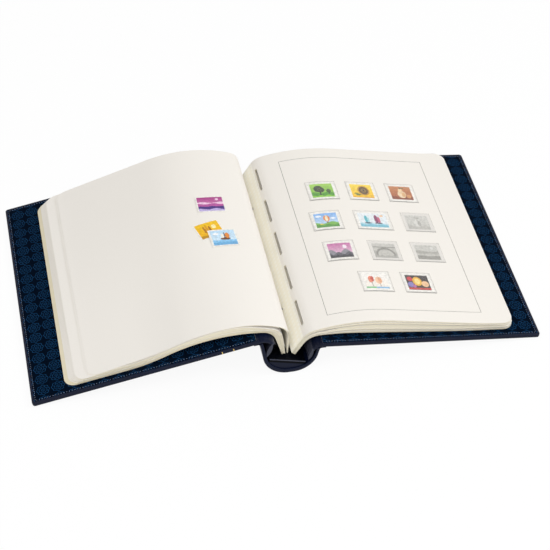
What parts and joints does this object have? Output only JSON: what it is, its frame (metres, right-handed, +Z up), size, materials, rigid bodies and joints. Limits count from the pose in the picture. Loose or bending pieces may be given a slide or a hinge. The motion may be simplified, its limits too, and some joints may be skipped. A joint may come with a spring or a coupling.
{
  "type": "stamp album",
  "caption": "Padded turn-bar stamp album lying open: hinged covers, slotted leaves on turning bars, a printed leaf of clear mounts and loose stamps.",
  "frame": {"origin": "centre of the open album's footprint, on the table under the spine", "axes": "+X from the spine to the right page's fore-edge, +Y along the spine to the head of the pages, +Z up"},
  "size_m": [0.5394, 0.3172, 0.0671],
  "materials": {
    "leatherette": "grained, satin",
    "patterned_lining": "woven repeat, satin",
    "padding": "matt",
    "board": "matt",
    "gold_foil": "foil, glossy",
    "plated_steel": "nickel-plated",
    "brass": "turned",
    "album_paper": "smooth, matt",
    "clear_film": "clear, glossy",
    "stamp_paper": "printed, semi-matt",
    "magenta_stamp": "printed, semi-matt",
    "yellow_stamp": "printed, semi-matt",
    "blue_stamp": "printed, semi-matt"
  },
  "bodies": {
    "spine": {"spine_skin": "leatherette", "spine_filler": "padding", "spine_board": "board", "spine_lining": "leatherette", "left_hinge_flap": "leatherette", "right_hinge_flap": "leatherette", "base_plate": "plated_steel", "left_rail": "plated_steel", "right_rail": "plated_steel", "rail_rivets": "plated_steel", "bar_bushes": "brass", "left_leaf_stubs": "album_paper", "right_leaf_stubs": "album_paper"},
    "front_cover": {"front_cover_skin": "leatherette", "front_cover_padding": "padding", "front_cover_board": "board", "front_cover_lining": "patterned_lining", "front_gold_lines": "gold_foil"},
    "back_cover": {"back_cover_skin": "leatherette", "back_cover_padding": "padding", "back_cover_board": "board", "back_cover_lining": "patterned_lining"},
    "left_leaves": {"left_leaf_01": "album_paper", "left_leaf_02": "album_paper", "left_leaf_03": "album_paper", "left_leaf_04": "album_paper", "left_leaf_05": "album_paper", "left_leaf_06": "album_paper", "left_leaf_07": "album_paper", "left_leaf_08": "album_paper", "left_leaf_09": "album_paper", "left_leaf_10": "album_paper", "blank_leaf": "album_paper", "loose_stamp_1": "magenta_stamp", "loose_stamp_2": "yellow_stamp", "loose_stamp_3": "blue_stamp"},
    "right_leaves": {"right_leaf_01": "album_paper", "right_leaf_02": "album_paper", "right_leaf_03": "album_paper", "right_leaf_04": "album_paper", "right_leaf_05": "album_paper", "right_leaf_06": "album_paper", "right_leaf_07": "album_paper", "right_leaf_08": "album_paper", "right_leaf_09": "album_paper", "right_leaf_10": "album_paper"},
    "printed_leaf": {"printed_leaf": "album_paper", "stamp_mounts": "clear_film", "mounted_stamps": "stamp_paper"},
    "upper_turn_bar": {"upper_turn_bar": "plated_steel", "upper_bar_clip": "plated_steel", "upper_bar_lever": "plated_steel"},
    "lower_turn_bar": {"lower_turn_bar": "plated_steel", "lower_bar_clip": "plated_steel", "lower_bar_lever": "plated_steel"}
  },
  "joints": [
    {"name": "front_cover_hinge", "type": "hinge", "parent": "spine", "child": "front_cover", "pos_m": [-0.0321, 0, 0.0454], "axis": [0, 1, 0], "range_deg": [0, 108]},
    {"name": "back_cover_hinge", "type": "hinge", "parent": "spine", "child": "back_cover", "pos_m": [0.0299, 0, 0.0294], "axis": [0, -1, 0], "range_deg": [0, 84.5]},
    {"name": "left_leaves_fold", "type": "hinge", "parent": "spine", "child": "left_leaves", "pos_m": [-0.01471, 0, 0.05864], "axis": [0, 1, 0], "range_deg": [0, 108]},
    {"name": "right_leaves_fold", "type": "hinge", "parent": "spine", "child": "right_leaves", "pos_m": [0.01676, 0, 0.04071], "axis": [0, -1, 0], "range_deg": [0, 84.5]},
    {"name": "printed_leaf_turn", "type": "hinge", "parent": "right_leaves", "child": "printed_leaf", "pos_m": [0.01676, 0, 0.04071], "axis": [0, 1, 0], "range_deg": [-120, 0]},
    {"name": "upper_bar_turn", "type": "hinge", "parent": "spine", "child": "upper_turn_bar", "pos_m": [-0.0018, 0.085, 0.02218], "axis": [0.9683, 0, -0.2499], "range_deg": [0, 90]},
    {"name": "lower_bar_turn", "type": "hinge", "parent": "spine", "child": "lower_turn_bar", "pos_m": [-0.0018, -0.085, 0.02218], "axis": [0.9683, 0, -0.2499], "range_deg": [0, 90]}
  ],
  "couplings": [
    {"joint": "left_leaves_fold", "follows": "front_cover_hinge", "ratio": 1},
    {"joint": "right_leaves_fold", "follows": "back_cover_hinge", "ratio": 1}
  ]
}
